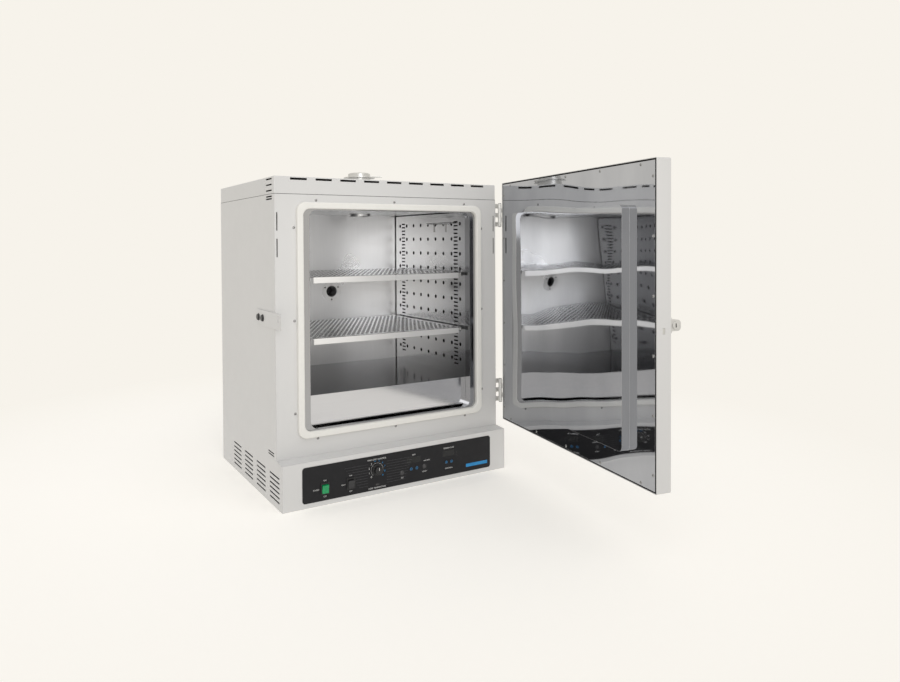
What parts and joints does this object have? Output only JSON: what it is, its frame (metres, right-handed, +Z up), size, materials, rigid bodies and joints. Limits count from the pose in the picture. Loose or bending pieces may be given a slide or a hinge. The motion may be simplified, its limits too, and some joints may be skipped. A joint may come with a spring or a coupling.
{
  "type": "hot air sterilizer",
  "caption": "Free-standing laboratory hot air sterilizer with a hinged side-opening door, fan-heated steel chamber, sliding shelves, low control panel and roof vent.",
  "frame": {"origin": "middle of the base pan's underside", "axes": "X to the right of someone facing the door, Y to the back, Z up"},
  "size_m": [0.8374, 1.3388, 1.0033],
  "materials": {
    "painted_grey": "satin",
    "stainless": "brushed",
    "plated_steel": "satin",
    "vent_aluminium": "satin",
    "gasket_silicone": "matte",
    "mineral_wool": "matte",
    "panel_film": "satin",
    "black_plastic": "satin",
    "grey_plastic": "satin",
    "green_lens": "gloss",
    "blue_plastic": "gloss",
    "lamp_lens": "gloss",
    "display_pane": "gloss",
    "circuit_board": "satin",
    "motor_paint": "satin",
    "screw_steel": "polished"
  },
  "bodies": {
    "cabinet": {"base_pan": "painted_grey", "left_side_panel": "painted_grey", "right_side_panel": "painted_grey", "rear_panel": "painted_grey", "top_cover": "painted_grey", "front_frame": "painted_grey", "control_housing": "painted_grey", "strike_plate": "painted_grey", "chamber_liner": "stainless", "throat_frame": "stainless", "left_duct_wall": "stainless", "right_duct_wall": "stainless", "floor_cover": "stainless", "shelf_clips": "stainless", "port_tube": "stainless", "exhaust_tube": "stainless", "probe": "stainless", "probe_clips": "stainless", "heater_elements": "stainless", "deck_plate": "plated_steel", "heater_brackets": "plated_steel", "motor_bracket": "plated_steel", "cabinet_hinge_leaves": "plated_steel", "vent_collar": "vent_aluminium", "door_gasket": "gasket_silicone", "insulation": "mineral_wool", "control_overlay": "panel_film", "switch_frames": "black_plastic", "limit_thermostat": "black_plastic", "power_inlet": "black_plastic", "strike_screws": "black_plastic", "indicator_lamps": "lamp_lens", "display_windows": "display_pane", "control_board": "circuit_board", "blower_motor": "motor_paint", "hinge_pins": "screw_steel", "cabinet_screws": "screw_steel", "port_screws": "screw_steel"},
    "door": {"door_skin": "painted_grey", "door_liner": "stainless", "door_insulation": "mineral_wool", "door_hinge_leaves": "plated_steel", "liner_screws": "screw_steel", "latch_housing": "vent_aluminium", "latch_guide": "plated_steel"},
    "latch_lever": {"latch_handle": "black_plastic"},
    "bolt": {"latch_bolt": "plated_steel"},
    "lock": {"lock_cylinder": "screw_steel"},
    "shelf_upper": {"upper_shelf": "stainless"},
    "shelf_lower": {"lower_shelf": "stainless"},
    "damper": {"vent_damper": "vent_aluminium"},
    "blower": {"fan_wheel": "plated_steel"},
    "knob": {"limit_knob": "black_plastic"},
    "power_switch": {"power_rocker": "green_lens"},
    "heat_switch": {"heat_rocker": "grey_plastic"},
    "button_left_down": {"left_down_button": "blue_plastic"},
    "button_left_up": {"left_up_button": "blue_plastic"},
    "button_right_down": {"right_down_button": "blue_plastic"},
    "button_right_up": {"right_up_button": "blue_plastic"}
  },
  "joints": [
    {"name": "door_hinge", "type": "hinge", "parent": "cabinet", "child": "door", "pos_m": [0.3997, -0.262, 0.5525], "axis": [0, 0, 1], "range_deg": [-80, 90]},
    {"name": "latch_turn", "type": "hinge", "parent": "door", "child": "latch_lever", "pos_m": [0.31788, -0.98802, 0.553], "axis": [-0.9848, 0.1736, 0], "range_deg": [0, 90]},
    {"name": "bolt_slide", "type": "slide", "parent": "door", "child": "bolt", "axis": [-0.1736, -0.9848, 0], "range_m": [0, 0.019]},
    {"name": "lock_turn", "type": "hinge", "parent": "door", "child": "lock", "pos_m": [0.32319, -1.03567, 0.553], "axis": [0.1736, 0.9848, 0], "range_deg": [0, 90]},
    {"name": "upper_shelf_slide", "type": "slide", "parent": "cabinet", "child": "shelf_upper", "axis": [0, -1, 0], "range_m": [0, 0.4]},
    {"name": "lower_shelf_slide", "type": "slide", "parent": "cabinet", "child": "shelf_lower", "axis": [0, -1, 0], "range_m": [0, 0.4]},
    {"name": "damper_turn", "type": "hinge", "parent": "cabinet", "child": "damper", "pos_m": [0.075, 0.1445, 0.99], "axis": [0, 0, 1], "range_deg": [0, 45]},
    {"name": "blower_spin", "type": "hinge", "parent": "cabinet", "child": "blower", "pos_m": [0, 0.0125, 0.2], "axis": [0, 0, 1], "continuous": true},
    {"name": "knob_turn", "type": "hinge", "parent": "cabinet", "child": "knob", "pos_m": [-0.0905, -0.3, 0.074], "axis": [0, 1, 0], "range_deg": [0, 270]},
    {"name": "power_switch_tilt", "type": "hinge", "parent": "cabinet", "child": "power_switch", "pos_m": [-0.259, -0.2935, 0.0485], "axis": [-1, 0, 0], "range_deg": [0, 14]},
    {"name": "heat_switch_tilt", "type": "hinge", "parent": "cabinet", "child": "heat_switch", "pos_m": [-0.1775, -0.2935, 0.0485], "axis": [-1, 0, 0], "range_deg": [0, 14]},
    {"name": "button_left_down_press", "type": "slide", "parent": "cabinet", "child": "button_left_down", "axis": [0, 1, 0], "range_m": [0, 0.001], "stiffness_N_per_m": 300, "springref_m": -0.0005},
    {"name": "button_left_up_press", "type": "slide", "parent": "cabinet", "child": "button_left_up", "axis": [0, 1, 0], "range_m": [0, 0.001], "stiffness_N_per_m": 300, "springref_m": -0.0005},
    {"name": "button_right_down_press", "type": "slide", "parent": "cabinet", "child": "button_right_down", "axis": [0, 1, 0], "range_m": [0, 0.001], "stiffness_N_per_m": 300, "springref_m": -0.0005},
    {"name": "button_right_up_press", "type": "slide", "parent": "cabinet", "child": "button_right_up", "axis": [0, 1, 0], "range_m": [0, 0.001], "stiffness_N_per_m": 300, "springref_m": -0.0005}
  ],
  "couplings": [
    {"joint": "bolt_slide", "follows": "latch_turn", "m_per_rad": 0.012096}
  ]
}
